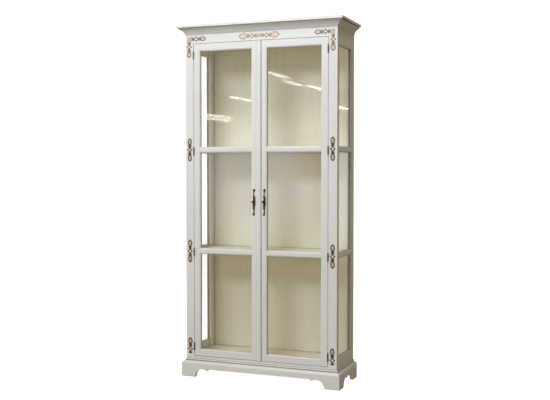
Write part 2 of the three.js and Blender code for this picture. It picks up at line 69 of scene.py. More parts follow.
class NodeTree:
    """A node tree and short calls that add nodes to it. Most calls return the socket that they make."""

    def __init__(self, owner):
        owner.use_nodes = True
        self.tree = owner.node_tree

    def node(self, kind, inputs=None, **settings):
        made = self.tree.nodes.new(kind)
        for key, value in settings.items():
            setattr(made, key, value)
        for key, value in (inputs or {}).items():
            self.feed(made.inputs[key], value)
        return made

    def feed(self, socket, value):
        if isinstance(value, bpy.types.NodeSocket):
            self.tree.links.new(value, socket)
        elif isinstance(value, (int, float)):
            socket.default_value = value
        else:
            socket.default_value = (*value, 1)[:len(socket.default_value)]

    def between(self, value, low, high, start=0.0, end=1.0, ease="LINEAR"):
        """Value from low..high brought to start..end, held at the ends."""
        inputs = {"Value": value, "From Min": low, "From Max": high, "To Min": start, "To Max": end}
        return self.node("ShaderNodeMapRange", inputs, interpolation_type=ease).outputs[0]

    def times(self, a, b):
        return self.node("ShaderNodeMath", {0: a, 1: b}, operation="MULTIPLY").outputs[0]

    def plus(self, a, b):
        return self.node("ShaderNodeMath", {0: a, 1: b}, operation="ADD").outputs[0]

    def likeness(self, a, b):
        """How far two directions agree: the cosine of the angle between them."""
        return self.node("ShaderNodeVectorMath", {0: a, 1: b}, operation="DOT_PRODUCT").outputs["Value"]

    def mix(self, share, a, b):
        inputs = {0: share, MIX_A: a, MIX_B: b}
        return self.node("ShaderNodeMix", inputs, data_type="RGBA").outputs[MIXED]


# ---------------------------------------------------------------- materials

class Finish(NodeTree):
    """One material, on a Principled surface."""

    def __init__(self, name):
        self.material = bpy.data.materials.new(name)
        super().__init__(self.material)
        self.surface = self.tree.nodes["Principled BSDF"]

    def set(self, **values):
        for key, value in values.items():
            self.feed(self.surface.inputs[key.replace("_", " ")], value)

    def noise(self, scale, detail=3, roughness=0.5, stretch=(1, 1, 1)):
        """Noise in object space, pulled out along the axes where stretch is small."""
        place = self.node("ShaderNodeTexCoord").outputs["Object"]
        place = self.node("ShaderNodeMapping", {"Vector": place, "Scale": stretch}).outputs[0]
        inputs = {"Vector": place, "Scale": scale, "Detail": detail, "Roughness": roughness}
        return self.node("ShaderNodeTexNoise", inputs).outputs["Fac"]

    def bump(self, height, depth):
        """A bump of that depth in metres."""
        return self.node("ShaderNodeBump", {"Height": height, "Distance": depth}).outputs[0]

    def recess(self, distance):
        """1 in tight corners and grooves, 0 in the open."""
        shade = self.node("ShaderNodeAmbientOcclusion", {"Distance": distance}, samples=6)
        return self.between(shade.outputs["AO"], 0.35, 0.9, 1, 0)

    def arris(self, radius):
        """1 on sharp edges, 0 on flat faces."""
        soft = self.node("ShaderNodeBevel", {"Radius": radius}, samples=4).outputs[0]
        true = self.node("ShaderNodeNewGeometry").outputs["Normal"]
        return self.between(self.likeness(soft, true), 0.82, 0.995, 1, 0)


ALONG_GRAIN = 0.035  # scale of noise along the grain, as a share of that across it
GRAIN_STRETCH = {"x": (ALONG_GRAIN, 1, 1), "y": (1, ALONG_GRAIN, 1), "z": (1, 1, ALONG_GRAIN)}
WORN_ARRIS = 1.1 * MM
GLAZE_AND_SHADE_REACH = 9 * MM  # how far the aged glaze and painted shade come out of a corner
CREVICE_SHADE_REACH = 6 * MM  # and the painted shade's dark line inside it
GLAZE_AND_SHADE_TINT = 0.7  # both as shares of the patina's colour
CREVICE_SHADE_TINT = 0.18


def darker(colour, share):
    return [c * share for c in colour]


def painted(name, grain, colour, shade, patina, gloss=0.36):
    """Satin lacquer: faint strokes along the grain, and in the corners an aged glazing darkened with
    painted shade, down to a painted shade line in the tightest.
    """
    f = Finish(name)
    clouds = f.noise(2.2, detail=4)
    strokes = f.noise(260, detail=4, roughness=0.6, stretch=GRAIN_STRETCH[grain])
    peel = f.noise(520, detail=2)
    tone = f.mix(f.between(clouds, 0.35, 0.65), shade, colour)
    tone = f.mix(f.between(strokes, 0.4, 0.75, 0, 0.16), tone, shade)
    worn = f.times(f.arris(WORN_ARRIS), f.between(f.noise(38, detail=5), 0.42, 0.62, 0.08, 0.42))
    tone = f.mix(worn, tone, patina)
    # aged glaze and painted shade: darker wherever ambient occlusion finds a corner
    glaze_and_shade = f.times(f.recess(GLAZE_AND_SHADE_REACH), f.between(f.noise(24), 0.3, 0.7, 0.3, 0.6))
    tone = f.mix(glaze_and_shade, tone, darker(patina, GLAZE_AND_SHADE_TINT))
    # painted shade: a near-black line where ambient occlusion finds the tightest corners
    crevice_shade = f.times(f.recess(CREVICE_SHADE_REACH), f.between(f.noise(60), 0.3, 0.7, 0.55, 0.95))
    tone = f.mix(crevice_shade, tone, darker(patina, CREVICE_SHADE_TINT))
    rough = f.between(f.plus(strokes, clouds), 0.7, 1.3, gloss - 0.05, gloss + 0.07)
    height = f.plus(f.times(strokes, 0.7), f.times(peel, 0.3))
    f.set(Base_Color=tone, Roughness=rough, Normal=f.bump(height, 0.09 * MM),
          Coat_Weight=0.18, Coat_Roughness=0.22)
    return f.material


def cast_metal(name, dark, light, gloss, grime=0.75):
    """Aged cast metal: dark in the hollows, rubbed bright where a hand reaches."""
    f = Finish(name)
    blotches = f.noise(160, detail=5, roughness=0.65)
    pits = f.noise(900, detail=3)
    rubbed = f.times(f.arris(0.9 * MM), 0.8)
    share = f.plus(rubbed, f.between(blotches, 0.42, 0.72, 0, 0.55))
    tone = f.mix(share, dark, light)
    tone = f.mix(f.times(f.recess(2.5 * MM), grime), tone, darker(dark, 0.22))
    rough = f.between(blotches, 0.3, 0.7, gloss + 0.16, gloss - 0.06)
    f.set(Base_Color=tone, Metallic=1.0, Roughness=rough, Normal=f.bump(pits, 0.05 * MM))
    return f.material


def ornament_paint(name, colour, deep, metallic=0.0, gloss=0.42):
    """Hand-laid ornament colour, as uneven as brushwork."""
    f = Finish(name)
    strokes = f.noise(420, detail=4, roughness=0.7)
    tone = f.mix(f.between(strokes, 0.35, 0.68), deep, colour)
    rough = f.between(strokes, 0.3, 0.7, gloss - 0.08, gloss + 0.1)
    f.set(Base_Color=tone, Metallic=metallic, Roughness=rough, Normal=f.bump(strokes, 0.05 * MM))
    return f.material


GLASS_MIRROR = 0.042  # how much one face of a pane mirrors when seen square on


def pane_glass(name):
    """Clear float glass: it lets light through, mirrors at a slant, and carries a faint haze of wiping."""
    f = Finish(name)
    haze = f.noise(7, detail=5, stretch=(1, 1, 0.4))
    wipes = f.noise(55, detail=3, stretch=(1, 1, 0.12))
    clear = f.node("ShaderNodeBsdfTransparent", {"Color": (0.985, 0.99, 0.983)}).outputs[0]
    rough = f.between(f.plus(haze, wipes), 0.7, 1.3, 0.018, 0.045)
    mirror = f.node("ShaderNodeBsdfGlossy", {"Color": (1, 1, 1), "Roughness": rough}).outputs[0]
    slant = f.node("ShaderNodeLayerWeight", {"Blend": 0.5}).outputs["Facing"]
    steep = f.node("ShaderNodeMath", {0: slant, 1: 5.0}, operation="POWER").outputs[0]
    share = f.plus(f.times(steep, 1 - GLASS_MIRROR), GLASS_MIRROR)
    body = f.node("ShaderNodeMixShader", {0: share, 1: clear, 2: mirror}).outputs[0]
    dust = f.node("ShaderNodeBsdfDiffuse", {"Color": (0.8, 0.8, 0.77)}).outputs[0]
    film = f.between(f.times(haze, wipes), 0.2, 0.5, 0.0, 0.022)
    whole = f.node("ShaderNodeMixShader", {0: film, 1: body, 2: dust}).outputs[0]
    f.tree.links.new(whole, f.tree.nodes["Material Output"].inputs["Surface"])
    f.tree.nodes.remove(f.surface)
    return f.material


def plain_plastic(name, colour):
    f = Finish(name)
    grain = f.noise(700, detail=3)
    tone = f.mix(f.between(f.noise(60), 0.3, 0.7), colour, darker(colour, 0.85))
    rough = f.between(grain, 0.3, 0.7, 0.45, 0.6)
    f.set(Base_Color=tone, Roughness=rough, Normal=f.bump(grain, 0.03 * MM))
    return f.material


IVORY = (0.86, 0.85, 0.815)
IVORY_SHADE = (0.82, 0.805, 0.76)
CREAM = (0.89, 0.845, 0.685)
CREAM_SHADE = (0.85, 0.80, 0.625)
PATINA = (0.52, 0.41, 0.29)

ivory = {axis: painted(f"ivory_lacquer_{axis}", axis, IVORY, IVORY_SHADE, PATINA) for axis in "xyz"}
cream = {axis: painted(f"cream_lacquer_{axis}", axis, CREAM, CREAM_SHADE, PATINA, gloss=0.5)
         for axis in "xz"}
glass = pane_glass("pane_glass")
bronze = cast_metal("rubbed_bronze", (0.05, 0.03, 0.014), (0.46, 0.29, 0.13), 0.34)
hinge_metal = cast_metal("hinge_bronze", (0.22, 0.195, 0.15), (0.46, 0.42, 0.33), 0.42)
steel = cast_metal("bright_steel", (0.45, 0.44, 0.42), (0.75, 0.74, 0.72), 0.3, 0.4)
pearl = ornament_paint("pearl_white", (0.95, 0.93, 0.88), (0.87, 0.83, 0.77))
gilt = ornament_paint("soft_gilt", (0.42, 0.27, 0.12), (0.26, 0.15, 0.065), 0.4, 0.36)
# the four paints of an ornament, in the order line, fill, pearl, gilt
DARK_ORNAMENT = (ornament_paint("umber_line", (0.085, 0.048, 0.026), (0.045, 0.024, 0.013), 0.15),
                 ornament_paint("warm_beige", (0.64, 0.48, 0.32), (0.50, 0.35, 0.21)), pearl, gilt)
PALE_ORNAMENT = (ornament_paint("faded_umber", (0.33, 0.22, 0.14), (0.24, 0.15, 0.09)),
                 ornament_paint("pale_beige", (0.80, 0.68, 0.56), (0.70, 0.56, 0.44)), pearl, gilt)
FRIEZE_ORNAMENT = (ornament_paint("rose_umber", (0.54, 0.40, 0.30), (0.43, 0.30, 0.215)),
                   ornament_paint("rose_beige", (0.84, 0.745, 0.66), (0.78, 0.66, 0.56)), pearl,
                   ornament_paint("faded_gilt", (0.50, 0.35, 0.20), (0.38, 0.24, 0.13), 0.2))
white_plastic = plain_plastic("catch_plastic", (0.78, 0.76, 0.72))


# ---------------------------------------------------------------- camera, light and surroundings

CAMERA_PLACE = (2.034, -5.084, 1.3205)
CAMERA_PITCH = 87.84
CAMERA_TURN = 21.372
CAMERA_LENS = 57.34
SENSOR_WIDTH = 36.0
FLOOR_HALF = 9.0
FLOOR_DROP = 0.4 * MM
FLOOR_COLOUR = (0.94, 0.94, 0.935)
FLOOR_GLOW = 0.95
SEEN_WHITE = 1.35  # brightness of the surroundings as the camera sees them
# colour of the dim light from the surroundings, by the side that it comes from
AMBIENT_LEFT = (0.75, 0.655, 0.48)
AMBIENT_RIGHT = (0.10, 0.08, 0.06)
AMBIENT_ABOVE = (0.03, 0.025, 0.02)
AMBIENT_BELOW = (0.01, 0.01, 0.01)
# soft glows that the panes mirror: direction, colour, and half angle of the even core in degrees
GLOWS = (((-0.38, -0.92, -0.016), (1.85, 1.9, 2.2), 0.5),
         ((0.288, 0.957, -0.030), (0.95, 1.0, 0.93), 1.0))
GLOW_EDGE = 5.0  # half angle at which a glow has faded out
# each lamp's name, place, target, size, power and colour
LAMPS = (
    ("high_front", (-0.6, -4.6, 3.7), (0, 0, 1.3), (2.2, 1.0), 106, (0.68, 0.77, 1.0)),
    ("overhead", (-0.2, -2.3, 4.5), (0, 0, 1.6), (2.0, 1.0), 48, (0.96, 1.0, 0.95)),
    ("low_left", (-3.4, -3.2, 1.2), (0, 0, 1.1), (1.4, 1.4), 14, (0.85, 0.8, 1.0)),
    ("side_left", (-3.6, 0.9, 1.6), (0, 0, 1.1), (1.4, 1.6), 66, (1, 0.965, 0.83)),
    ("high_right", (4.2, 0.4, 9.0), (0.5, 0, 1.2), (2.0, 2.0), 110, (1, 0.92, 0.78)))
TUBE_LENGTH = 1.0
TUBE_WIDTH = 0.09
TUBE_HEIGHT = 2.8
TUBE_POWER = 5.0
# where each ceiling tube is, and how many times the basic tube it measures
TUBES = ((-3.1, -8.45, 0.9), (-3.35, -9.8, 0.9), (-3.25, -10.85, 0.9), (-5.6, -12.9, 1.5),
         (-8.85, -18.4, 2.1), (-9.6, -19.9, 2.1), (5.4, 16.1, 0.8))


def add_camera():
    data = bpy.data.cameras.new("camera")
    data.lens = CAMERA_LENS
    data.sensor_width = SENSOR_WIDTH
    camera = bpy.data.objects.new("camera", data)
    camera.location = CAMERA_PLACE
    camera.rotation_euler = (math.radians(CAMERA_PITCH), 0, math.radians(CAMERA_TURN))
    bpy.context.scene.collection.objects.link(camera)
    bpy.context.scene.camera = camera


def area_light(name, place, target, size, power, colour=(1, 1, 1)):
    data = bpy.data.lights.new(name, "AREA")
    data.shape = "RECTANGLE"
    data.size, data.size_y = size
    data.energy = power
    data.color = colour
    light = bpy.data.objects.new(name, data)
    light.location = place
    aim = Vector(target) - Vector(place)
    light.rotation_euler = aim.to_track_quat("-Z", "Y").to_euler()
    bpy.context.scene.collection.objects.link(light)


def add_lights():
    """Soft light from the front, the left and high on the right, and the tubes that the panes mirror."""
    for lamp in LAMPS:
        area_light(*lamp)
    for i, (x, y, scale) in enumerate(TUBES, 1):
        size = (TUBE_WIDTH * scale, TUBE_LENGTH * scale)
        power = TUBE_POWER * scale ** 2
        area_light(f"ceiling_tube_{i}", (x, y, TUBE_HEIGHT), (x, y, 0), size, power)


def ambient_colour(sky):
    """The surroundings' colour by direction: brightest from the left and in the glows, dark from below."""
    heading = sky.node("ShaderNodeTexCoord").outputs["Generated"]
    parts = sky.node("ShaderNodeSeparateXYZ", {0: heading}).outputs
    level = sky.mix(parts["X"], AMBIENT_LEFT, AMBIENT_RIGHT)
    upper = sky.mix(parts["Z"], level, AMBIENT_ABOVE)
    colour = sky.mix(sky.times(parts["Z"], -1), upper, AMBIENT_BELOW)
    edge = math.cos(math.radians(GLOW_EDGE))
    for middle, glow, core in GLOWS:
        likeness = sky.likeness(heading, Vector(middle).normalized())
        share = sky.between(likeness, edge, math.cos(math.radians(core)), ease="SMOOTHSTEP")
        colour = sky.mix(share, colour, glow)
    return colour


def add_world():
    """Surroundings that are white to the camera and give the object only the dim ambient light."""
    world = bpy.data.worlds.new("surroundings")
    sky = NodeTree(world)
    seen = sky.tree.nodes["Background"]
    sky.feed(seen.inputs["Color"], (1, 1, 1))
    sky.feed(seen.inputs["Strength"], SEEN_WHITE)
    ambient = sky.node("ShaderNodeBackground", {"Color": ambient_colour(sky)}).outputs[0]
    camera_ray = sky.node("ShaderNodeLightPath").outputs["Is Camera Ray"]
    both = sky.node("ShaderNodeMixShader", {0: camera_ray, 1: ambient, 2: seen.outputs[0]})
    sky.feed(sky.tree.nodes["World Output"].inputs["Surface"], both.outputs[0])
    bpy.context.scene.world = world


def add_floor():
    """A pale floor, kept out of the object's own reflections and bounced light."""
    bm = bmesh.new()
    bmesh.ops.create_grid(bm, x_segments=8, y_segments=8, size=FLOOR_HALF)
    mesh = bpy.data.meshes.new("floor")
    bm.to_mesh(mesh)
    bm.free()
    floor = bpy.data.objects.new("floor", mesh)
    floor.location.z = -FLOOR_DROP
    bpy.context.scene.collection.objects.link(floor)
    f = Finish("pale_floor")
    f.set(Base_Color=FLOOR_COLOUR, Roughness=0.9, Specular_IOR_Level=0.0, Emission_Color=(1, 1, 1),
          Emission_Strength=FLOOR_GLOW)
    mesh.materials.append(f.material)
    floor.visible_diffuse = False
    floor.visible_glossy = False


# ---------------------------------------------------------------- the frame's own nodes

ARRIS = 0.7 * MM
WELD_REACH = 0.01 * MM
FLAT_UNDER = 0.6  # in degrees: facets that meet at less than this are merged
SHARP_OVER = 32  # in degrees: edges sharper than this are eased
AREA_WEIGHT = 90  # how much the large faces rule the shading


def weld_group():
    """A node group that joins the frame's split corners and shades it smooth, ready for a bevel."""
    group = bpy.data.node_groups.new("weld", "GeometryNodeTree")
    group.interface.new_socket("Geometry", in_out="INPUT", socket_type="NodeSocketGeometry")
    group.interface.new_socket("Geometry", in_out="OUTPUT", socket_type="NodeSocketGeometry")
    start = group.nodes.new("NodeGroupInput")
    bare = group.nodes.new("GeometryNodeRemoveAttribute")
    bare.inputs["Name"].default_value = "custom_normal"
    merge = group.nodes.new("GeometryNodeMergeByDistance")
    merge.inputs["Distance"].default_value = WELD_REACH
    smooth = group.nodes.new("GeometryNodeSetShadeSmooth")
    smooth.domain = "FACE"
    end = group.nodes.new("NodeGroupOutput")
    steps = [start, bare, merge, smooth, end]
    for a, b in zip(steps, steps[1:]):
        group.links.new(a.outputs[0], b.inputs[0])
    return group


WELD = weld_group()


def ease_edges(node):
    """Rounds a node's sharp edges, as paint and sanding do."""
    obj = nodes[node]
    weld = obj.modifiers.new("weld", "NODES")
    weld.node_group = WELD
    flat = obj.modifiers.new("flat", "DECIMATE")
    flat.decimate_type = "DISSOLVE"
    flat.angle_limit = math.radians(FLAT_UNDER)
    bevel = obj.modifiers.new("arris", "BEVEL")
    bevel.width = ARRIS
    bevel.segments = 2
    bevel.limit_method = "ANGLE"
    bevel.angle_limit = math.radians(SHARP_OVER)
    shade = obj.modifiers.new("shade", "WEIGHTED_NORMAL")
    shade.weight = AREA_WEIGHT


def finish_node(node, material):
    obj = nodes[node]
    for slot in obj.material_slots:
        slot.material = material


def grain_of(node):
    """The axis that a wooden member runs along: its longest side."""
    size = highest(node) - lowest(node)
    return "xyz"[max(range(3), key=lambda axis: size[axis])]


def finish_frame():
    slots = {o.name: o.material_slots[0].material.name for o in nodes.values()}
    for node, slot in slots.items():
        if slot == "ivory_paint":
            finish_node(node, ivory[grain_of(node)])
            ease_edges(node)
        elif slot == "cream_interior":
            finish_node(node, cream["z" if node == "back_panel" else "x"])
            ease_edges(node)
        elif slot == "clear_glass":
            finish_node(node, glass)


# ---------------------------------------------------------------- mesh building

SMOOTH_UNDER = 34  # in degrees: edges sharper than this stay crisp


def piece(name, bm, materials, body, smooth_under=SMOOTH_UNDER):
    """One new piece: shaded smooth up to an angle, with its finish, riding on its body."""
    bmesh.ops.recalc_face_normals(bm, faces=bm.faces)
    mesh = bpy.data.meshes.new(name)
    bm.to_mesh(mesh)
    bm.free()
    mesh.polygons.foreach_set("use_smooth", [True] * len(mesh.polygons))
    mesh.set_sharp_from_angle(angle=math.radians(smooth_under))
    for material in materials:
        mesh.materials.append(material)
    obj = bpy.data.objects.new(name, mesh)
    bpy.context.scene.collection.objects.link(obj)
    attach(obj, body)
    return obj


def loft(bm, rings, material=0):
    """A closed skin through rings of equal length, with both ends capped."""
    loops = [[bm.verts.new(p) for p in ring] for ring in rings]
    count = len(loops[0])
    for a, b in zip(loops, loops[1:]):
        for i in range(count):
            j = (i + 1) % count
            bm.faces.new((a[i], a[j], b[j], b[i])).material_index = material
    bm.faces.new(loops[0][::-1]).material_index = material
    bm.faces.new(loops[-1]).material_index = material


def across(axis):
    """Two unit vectors square to an axis and to each other."""
    axis = Vector(axis).normalized()
    side = axis.cross(Vector((0, 0, 1)))
    if side.length < 0.1:
        side = Vector((1, 0, 0))
    side.normalize()
    return side, axis.cross(side)


def turned(bm, origin, axis, profile, sides, petals=0, relief=0.0, material=0):
    """A turned shape: profile lists (distance along the axis, radius) in mm; petals scallop the radius."""
    axis = Vector(axis).normalized()
    side, other = across(axis)
    rings = []
    for along, radius in profile:
        ring = []
        for i in range(sides):
            turn = 2 * math.pi * i / sides
            reach = radius * (1 + relief * math.cos(petals * turn)) * MM
            spoke = side * math.cos(turn) + other * math.sin(turn)
            ring.append(Vector(origin) + axis * along * MM + spoke * reach)
        rings.append(ring)
    loft(bm, rings, material)


def block(bm, low, high, ease, material=0):
    """A box between two corners, with all its edges eased."""
    low, high = Vector(low), Vector(high)
    rings = []
    for z, inset in ((low.z, ease), (low.z + ease, 0), (high.z - ease, 0), (high.z, ease)):
        x0, x1, y0, y1 = low.x + inset, high.x - inset, low.y + inset, high.y - inset
        rings.append([Vector(p) for p in (
            (x0 + ease, y0, z), (x1 - ease, y0, z), (x1, y0 + ease, z), (x1, y1 - ease, z),
            (x1 - ease, y1, z), (x0 + ease, y1, z), (x0, y1 - ease, z), (x0, y0 + ease, z))])
    loft(bm, rings, material)


def smooth_step(stations, t):
    """The values of stations [(place, a, b, ...)] at place t, eased from one to the next."""
    for here, after in zip(stations, stations[1:]):
        if t <= after[0]:
            share = (t - here[0]) / (after[0] - here[0])
            share = share * share * (3 - 2 * share)
            return [a + (b - a) * share for a, b in zip(here[1:], after[1:])]
    return list(stations[-1][1:])


# ---------------------------------------------------------------- glazing beads

BEAD_WIDTH = 7.4 * MM
BEAD_FOOT = 1.6 * MM  # height of a bead's upright edge, where it meets the pane
BEAD_FLAT = 1.2 * MM  # width of its flat top
BEAD_NOSE = 0.6 * MM  # where its round would meet the top, from its outer edge
BEAD_CLEAR = 0.4 * MM  # taken off its depth, so that it stays below the frame's face
PANE_CLEAR = 0.1 * MM
PAST_PANE = 0.6 * MM  # how far a bead reaches out past the pane's edge
ROUND_STEPS = 6


def bead_profile(depth):
    """A quarter-round bead: (in from its outer edge, away from the pane) pairs."""
    points = [(0, 0), (BEAD_WIDTH, 0), (BEAD_WIDTH, BEAD_FOOT)]
    for i in range(1, ROUND_STEPS):
        turn = math.pi / 2 * i / ROUND_STEPS
        points.append((BEAD_WIDTH * math.cos(turn) + BEAD_NOSE * math.sin(turn),
                       BEAD_FOOT + (depth - BEAD_FOOT) * math.sin(turn)))
    points.append((BEAD_FLAT, depth))
    points.append((0, depth))
    return points


def add_bead(name, pane, depth_axis, start, end, body):
    """Four mitred beads round a pane, from its inner face at start to the frame's inner face at end."""
    low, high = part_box(pane)
    across_axis = 1 - depth_axis
    sign = 1 if end > start else -1
    bm = bmesh.new()
    loops = []
    for inward, away in bead_profile(abs(end - start) - BEAD_CLEAR):
        inset = inward - PAST_PANE
        a0, a1 = low[across_axis] + inset, high[across_axis] - inset
        z0, z1 = low.z + inset, high.z - inset
        loop = []
        for a, z in ((a0, z0), (a1, z0), (a1, z1), (a0, z1)):
            point = Vector((0, 0, z))
            point[across_axis] = a
            point[depth_axis] = start + sign * (away + PANE_CLEAR)
            loop.append(bm.verts.new(point))
        loops.append(loop)
    for a, b in zip(loops, loops[1:] + loops[:1]):
        for i in range(4):
            j = (i + 1) % 4
            bm.faces.new((a[i], a[j], b[j], b[i]))
    piece(name, bm, [ivory["z"]], body)


def add_beads():
    for side, sign in SIDES:
        side_rail = f"side_rail_upper_{side}"
        side_inner = highest(side_rail).x if sign < 0 else lowest(side_rail).x
        for level in ("lower", "middle", "upper"):
            pane = f"{side}_door_{level}_glass"
            add_bead(f"{side}_door_{level}_beads", pane, 1, highest(pane).y, DOOR_BACK, f"{side}_door")
            pane = f"side_glass_{level}_{side}"
            pane_inner = highest(pane).x if sign < 0 else lowest(pane).x
            add_bead(f"side_{level}_beads_{side}", pane, 0, pane_inner, side_inner, "carcass")


# ---------------------------------------------------------------- hinges

# sizes without MM are in mm, as profiles and screw heads take them
KNUCKLE_RADIUS = 3.5
KNUCKLE_GAP = 0.8
LEAF_THICKNESS = 0.75 * MM
LEAF_SCREWS = 3
LEAF_SCREW_RADIUS = 2.1
LEAF_SCREW_PROUD = 0.2
LEAF_SCREW_STAGGER = 2.5 * MM
LEAF_MARGIN = 0.5  # the leaves end this much short of the barrel's ends
TONGUE_MARGIN = 0.6  # and the tongues this much short of their third of it
TONGUE_LAP = 3 * MM  # how far a tongue runs on behind the barrel
LEAF_NEAR = 1.5 * MM  # from the barrel's back to the leaf
LEAF_FAR = 0.5 * MM  # from the leaf to the end of the room that the hinge has
POST_CLEAR = 0.1 * MM
DOOR_CLEAR = 0.05 * MM
FINIAL_HEIGHT = 3
# (distance, radius) pairs of a finial, in mm, outward from the barrel's end
FINIAL = ((0, 3.0), (0.5, 3.4), (0.9, 2.0), (1.3, 2.2), (1.9, 2.9), (2.4, 2.6), (2.8, 1.6),
          (FINIAL_HEIGHT, 0.4))


def screw_head(bm, centre, axis, radius, proud, material=0):
    """A low domed screw head with a cross recess, made of four quarters on a disc."""
    axis = Vector(axis).normalized()
    disc = [(0, radius), (proud * 0.35, radius), (proud * 0.5, radius * 0.94)]
    turned(bm, centre, axis, disc, 16, material=material)
    side, other = across(axis)
    slot = 0.16 * radius
    for quarter in range(4):
        turn = Matrix.Rotation(quarter * math.pi / 2, 3, axis)
        corner = [(slot, slot)]
        for i in range(5):
            angle = math.radians(14 + 62 * i / 4)
            corner.append((radius * 0.92 * math.cos(angle), radius * 0.92 * math.sin(angle)))
        rings = []
        for height, scale in ((0.3, 1.0), (0.75, 0.97), (1.0, 0.8)):
            ring = []
            for u, v in corner:
                spread = side * (slot + (u - slot) * scale) + other * (slot + (v - slot) * scale)
                ring.append(Vector(centre) + axis * proud * height * MM + turn @ spread * MM)
            rings.append(ring)
        loft(bm, rings, material)


def knuckle(bm, axis_x, axis_y, low, high):
    """One barrel of a butt hinge, with a shallow groove near each end. Heights in mm."""
    r = KNUCKLE_RADIUS
    end = ((0, r - 0.5), (0.4, r), (2.0, r), (2.3, r - 0.35), (2.8, r - 0.35), (3.1, r))
    profile = [(low + rise, radius) for rise, radius in end]
    profile += [(high - rise, radius) for rise, radius in reversed(end)]
    turned(bm, (axis_x, axis_y, 0), (0, 0, 1), profile, 20)


def finial(bm, axis_x, axis_y, base, up):
    """A small turned button at a hinge pin's end."""
    turned(bm, (axis_x, axis_y, base * MM), (0, 0, up), FINIAL, 18)


def leaf_plate(bm, x, y_near, y_far, low, high, facing):
    """A hinge leaf on the wood's edge, with its screws. Facing is the side that shows, -1 or 1."""
    half = LEAF_THICKNESS / 2
    block(bm, (x - half, y_near, low * MM), (x + half, y_far, high * MM), 0.2 * MM)
    for i in range(LEAF_SCREWS):
        z = (low + (high - low) * (i + 0.5) / LEAF_SCREWS) * MM
        y = (y_near + y_far) / 2 + (LEAF_SCREW_STAGGER if i % 2 else -LEAF_SCREW_STAGGER)
        place = (x + facing * half, y, z)
        screw_head(bm, place, (facing, 0, 0), LEAF_SCREW_RADIUS, LEAF_SCREW_PROUD)


def tongue(bm, x, y_near, y_far, low, high):
    """The strip of leaf that runs from the wood to its knuckle. Heights in mm."""
    half = LEAF_THICKNESS / 2
    low, high = (low + TONGUE_MARGIN) * MM, (high - TONGUE_MARGIN) * MM
    block(bm, (x - half, y_near, low), (x + half, y_far, high), 0.15 * MM)


def add_hinge(side, sign, number):
    """A three-knuckle hinge. The end knuckles and one leaf are the post's, the rest is the door's."""
    node = f"hinge_{side}_{number}"
    low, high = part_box(node)
    axis_x = (low.x + high.x) / 2
    axis_y = low.y + (high.x - low.x) / 2
    bottom, top = low.z / MM + FINIAL_HEIGHT, high.z / MM - FINIAL_HEIGHT
    third = (top - bottom) / 3
    back = axis_y + 0.9 * KNUCKLE_RADIUS * MM
    leaf_span = (back + LEAF_NEAR, high.y - LEAF_FAR, bottom + LEAF_MARGIN, top - LEAF_MARGIN)

    bm = bmesh.new()
    leaf = sign * (lowest("front_post_right").x - LEAF_THICKNESS / 2 - POST_CLEAR)
    for start in (bottom, bottom + 2 * third):
        knuckle(bm, axis_x, axis_y, start + KNUCKLE_GAP / 2, start + third - KNUCKLE_GAP / 2)
        tongue(bm, leaf, axis_y, back + TONGUE_LAP, start, start + third)
    finial(bm, axis_x, axis_y, bottom, -1)
    finial(bm, axis_x, axis_y, top, 1)
    leaf_plate(bm, leaf, *leaf_span, -sign)
    fixed = piece(f"{node}_post_leaf", bm, [hinge_metal], "carcass")
    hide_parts(node)

    bm = bmesh.new()
    leaf = sign * (highest("right_door_hinge_stile").x + LEAF_THICKNESS / 2 + DOOR_CLEAR)
    start = bottom + third
    knuckle(bm, axis_x, axis_y, start + KNUCKLE_GAP / 2, start + third - KNUCKLE_GAP / 2)
    tongue(bm, leaf, axis_y, back + TONGUE_LAP, start, start + third)
    leaf_plate(bm, leaf, *leaf_span, sign)
    piece(f"{node}_door_leaf", bm, [hinge_metal], f"{side}_door")


def add_hinges():
    for side, sign in SIDES:
        for number in range(1, 5):
            add_hinge(side, sign, number)


# ---------------------------------------------------------------- handles

HANDLE_HALF = 82.0
STEM_STEPS = 132
STEM_SIDES = 20
CAST_SMOOTH = 50  # in degrees: a casting's edges are softer than a joiner's
# the stem's height, sideways lean, half width and thickness in mm, from the bottom drop to the top ball
HANDLE_STATIONS = (
    (-82.0, -2.0, 1.0, 1.6), (-79.0, -2.0, 4.6, 5.4), (-73.0, -1.8, 6.2, 7.0), (-67.0, -0.8, 4.2, 5.4),
    (-62.0, 0.6, 2.8, 3.8), (-52.0, 1.4, 3.0, 3.8), (-46.0, 0.2, 3.4, 4.2), (-41.0, -0.6, 5.4, 5.6),
    (-32.0, -1.0, 6.6, 6.8), (-24.0, -0.6, 4.2, 5.2), (-18.0, 0.2, 6.2, 6.4), (-6.0, 2.0, 7.6, 7.8),
    (5.0, 2.4, 7.0, 7.4), (11.0, 2.6, 3.2, 4.8), (16.0, 2.6, 5.6, 6.2), (25.0, 2.0, 6.8, 6.8),
    (36.0, -0.2, 5.4, 5.8), (43.0, -1.4, 2.6, 3.8), (52.0, -1.0, 2.2, 3.4), (60.0, -0.4, 3.0, 4.0),
    (64.0, 0.4, 2.6, 3.8), (68.0, 1.0, 5.2, 5.8), (74.0, 1.4, 7.0, 7.6), (79.0, 1.6, 5.0, 5.8),
    (82.0, 1.8, 1.0, 1.6))
# heading and curl in degrees, and root (across, up, out), of each curling leaf
FOLIAGE = ((62, 55, (3.6, 8, 2.2)), (112, -50, (0.4, 16, 2.4)), (-70, -60, (3.0, -14, 2.2)),
           (-116, 48, (-2.6, -10, 2.4)), (72, 40, (-0.6, -44, 1.8)), (-60, -45, (1.6, 36, 1.8)))
FOLIAGE_LENGTH = 15
FOLIAGE_WIDTH = 2.6
FOLIAGE_LIFT = 2.0
FOLIAGE_STEPS = 14
